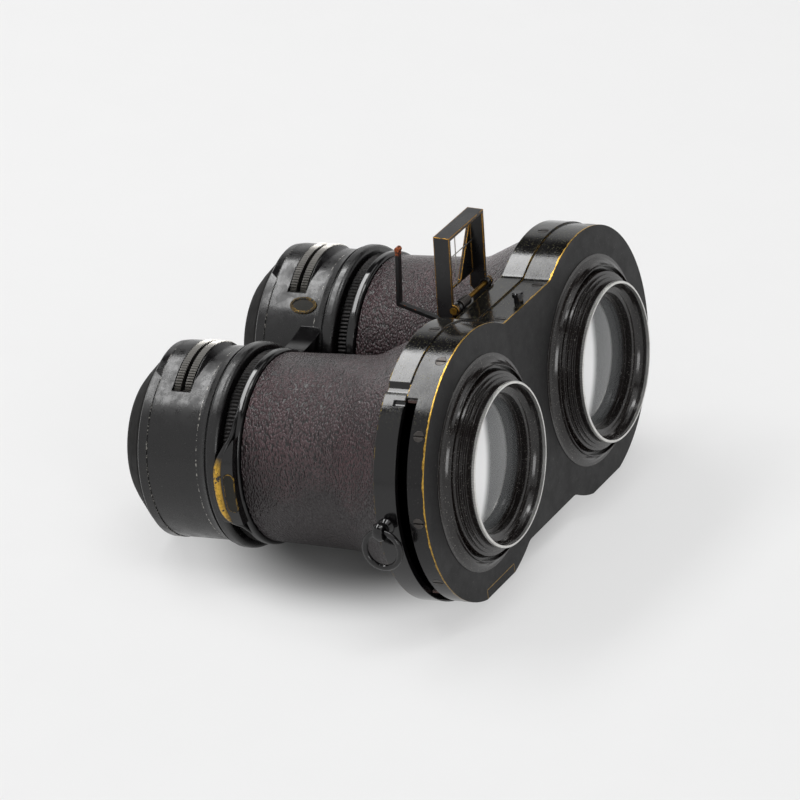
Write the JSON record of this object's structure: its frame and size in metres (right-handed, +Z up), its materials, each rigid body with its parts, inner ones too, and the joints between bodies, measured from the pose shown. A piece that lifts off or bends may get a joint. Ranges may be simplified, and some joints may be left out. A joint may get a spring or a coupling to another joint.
{
  "type": "binocular camera",
  "caption": "Twin-barrel plate camera in the shape of a field glass, with leather-covered barrels, stepped lens mounts, a folding finder, turret eyepiece wheels and strap rings.",
  "frame": {"origin": "middle of the footprint, on the table the camera lies on", "axes": "+X from the left barrel to the right barrel as seen from the front, -Y towards the subject in front of the large lenses, +Z up; the optical axes dip by 7.46 degrees towards +Y because the camera rests on the rear edge of its band and on the rims of the eyepiece drums"},
  "size_m": [0.1442, 0.1012, 0.0818],
  "materials": {
    "black_lacquer": "satin, worn at the edges",
    "brass": "worn",
    "dull_black": "matt",
    "glass": "polished",
    "leather": "grained, rubbed",
    "nickel": "polished, tarnished",
    "steel": "plain",
    "velvet": "short pile",
    "vulcanite": "satin"
  },
  "bodies": {
    "camera_body": {"body_frame": "black_lacquer", "front_cover": "black_lacquer", "front_frame": "dull_black", "plate_rails": "dull_black", "slot_velvet": "velvet", "cover_screws": "nickel", "band_screws": "nickel", "mount_left": "black_lacquer", "mount_right": "black_lacquer", "front_ring_left": "nickel", "front_ring_right": "nickel", "retaining_ring_left": "dull_black", "retaining_ring_right": "dull_black", "object_glass_left": "glass", "object_glass_right": "glass", "barrel_left": "dull_black", "barrel_right": "dull_black", "leather_left": "leather", "leather_right": "leather", "finder_base": "black_lacquer", "finder_pin": "brass", "finder_spring": "steel", "sight_pin": "brass", "strap_stud_left": "black_lacquer", "strap_stud_right": "black_lacquer"},
    "drums": {"drum_left": "black_lacquer", "drum_right": "black_lacquer", "drum_bridge": "black_lacquer", "drum_cap_left": "black_lacquer", "drum_cap_right": "black_lacquer", "eyecup_left": "vulcanite", "eyecup_right": "vulcanite", "wheel_axle_left": "steel", "wheel_axle_right": "steel", "badge_plates": "brass"},
    "focus_left": {"focus_ring_left": "black_lacquer", "scale_plate_left": "brass"},
    "focus_right": {"focus_ring_right": "black_lacquer", "scale_plate_right": "brass"},
    "turret_left": {"turret_wheel_left": "nickel", "eye_lens_left": "glass", "taking_lens_left": "glass"},
    "turret_right": {"turret_wheel_right": "nickel", "eye_lens_right": "glass", "taking_lens_right": "glass"},
    "stops_left": {"stop_wheel_left": "nickel"},
    "stops_right": {"stop_wheel_right": "nickel"},
    "blade_left": {"shutter_blade_left": "dull_black"},
    "blade_right": {"shutter_blade_right": "dull_black"},
    "shutter_release": {"shutter_button": "nickel"},
    "finder": {"finder_frame": "black_lacquer", "finder_wires": "steel"},
    "sight": {"rear_sight": "black_lacquer"},
    "catch": {"catch_button": "nickel"},
    "ring_left": {"strap_ring_left": "black_lacquer"},
    "ring_right": {"strap_ring_right": "black_lacquer"}
  },
  "joints": [
    {"name": "drum_slide", "type": "slide", "parent": "camera_body", "child": "drums", "axis": [0, 0.9915, -0.1299], "range_m": [-0.0004, 0.0031]},
    {"name": "focus_turn_left", "type": "hinge", "parent": "camera_body", "child": "focus_left", "pos_m": [-0.032, 0.0135, 0.02787], "axis": [0, 0.9915, -0.1299], "range_deg": [-4.7, 35.6]},
    {"name": "focus_turn_right", "type": "hinge", "parent": "camera_body", "child": "focus_right", "pos_m": [0.032, 0.0135, 0.02787], "axis": [0, 0.9915, -0.1299], "range_deg": [-35.6, 4.7]},
    {"name": "turret_turn_left", "type": "hinge", "parent": "drums", "child": "turret_left", "pos_m": [-0.032, 0.03388, 0.03297], "axis": [0, 0.9915, -0.1299], "continuous": true},
    {"name": "stops_turn_left", "type": "hinge", "parent": "drums", "child": "stops_left", "pos_m": [-0.032, 0.03101, 0.03335], "axis": [0, 0.9915, -0.1299], "continuous": true},
    {"name": "blade_turn_left", "type": "hinge", "parent": "drums", "child": "blade_left", "pos_m": [-0.016, 0.02435, 0.02645], "axis": [0, 0.9915, -0.1299], "range_deg": [-48, 0]},
    {"name": "turret_turn_right", "type": "hinge", "parent": "drums", "child": "turret_right", "pos_m": [0.032, 0.03388, 0.03297], "axis": [0, 0.9915, -0.1299], "continuous": true},
    {"name": "stops_turn_right", "type": "hinge", "parent": "drums", "child": "stops_right", "pos_m": [0.032, 0.03101, 0.03335], "axis": [0, 0.9915, -0.1299], "continuous": true},
    {"name": "blade_turn_right", "type": "hinge", "parent": "drums", "child": "blade_right", "pos_m": [0.016, 0.02435, 0.02645], "axis": [0, 0.9915, -0.1299], "range_deg": [0, 48]},
    {"name": "release_press", "type": "slide", "parent": "drums", "child": "shutter_release", "axis": [0, -0.9915, 0.1299], "range_m": [0, 0.0015], "stiffness_N_per_m": 150, "springref_m": -0.003},
    {"name": "finder_fold", "type": "hinge", "parent": "camera_body", "child": "finder", "pos_m": [0, -0.02237, 0.06283], "axis": [1, 0, 0], "range_deg": [0, 86]},
    {"name": "sight_fold", "type": "hinge", "parent": "camera_body", "child": "sight", "pos_m": [0, -0.0215, 0.05293], "axis": [-1, 0, 0], "range_deg": [0, 40]},
    {"name": "catch_press", "type": "slide", "parent": "camera_body", "child": "catch", "axis": [0, -0.1299, -0.9915], "range_m": [0, 0.001], "stiffness_N_per_m": 300, "springref_m": -0.003},
    {"name": "ring_swing_left", "type": "hinge", "parent": "camera_body", "child": "ring_left", "pos_m": [-0.0698, -0.03079, 0.03125], "axis": [0, 0.9915, -0.1299], "range_deg": [-20, 95]},
    {"name": "ring_swing_right", "type": "hinge", "parent": "camera_body", "child": "ring_right", "pos_m": [0.0698, -0.03079, 0.03125], "axis": [0, 0.9915, -0.1299], "range_deg": [-95, 20]}
  ],
  "couplings": [
    {"joint": "focus_turn_left", "follows": "drum_slide", "rad_per_m": 199.47},
    {"joint": "focus_turn_right", "follows": "drum_slide", "rad_per_m": -199.47},
    {"joint": "blade_turn_left", "follows": "release_press", "rad_per_m": -558.45},
    {"joint": "blade_turn_right", "follows": "release_press", "rad_per_m": 558.45}
  ]
}
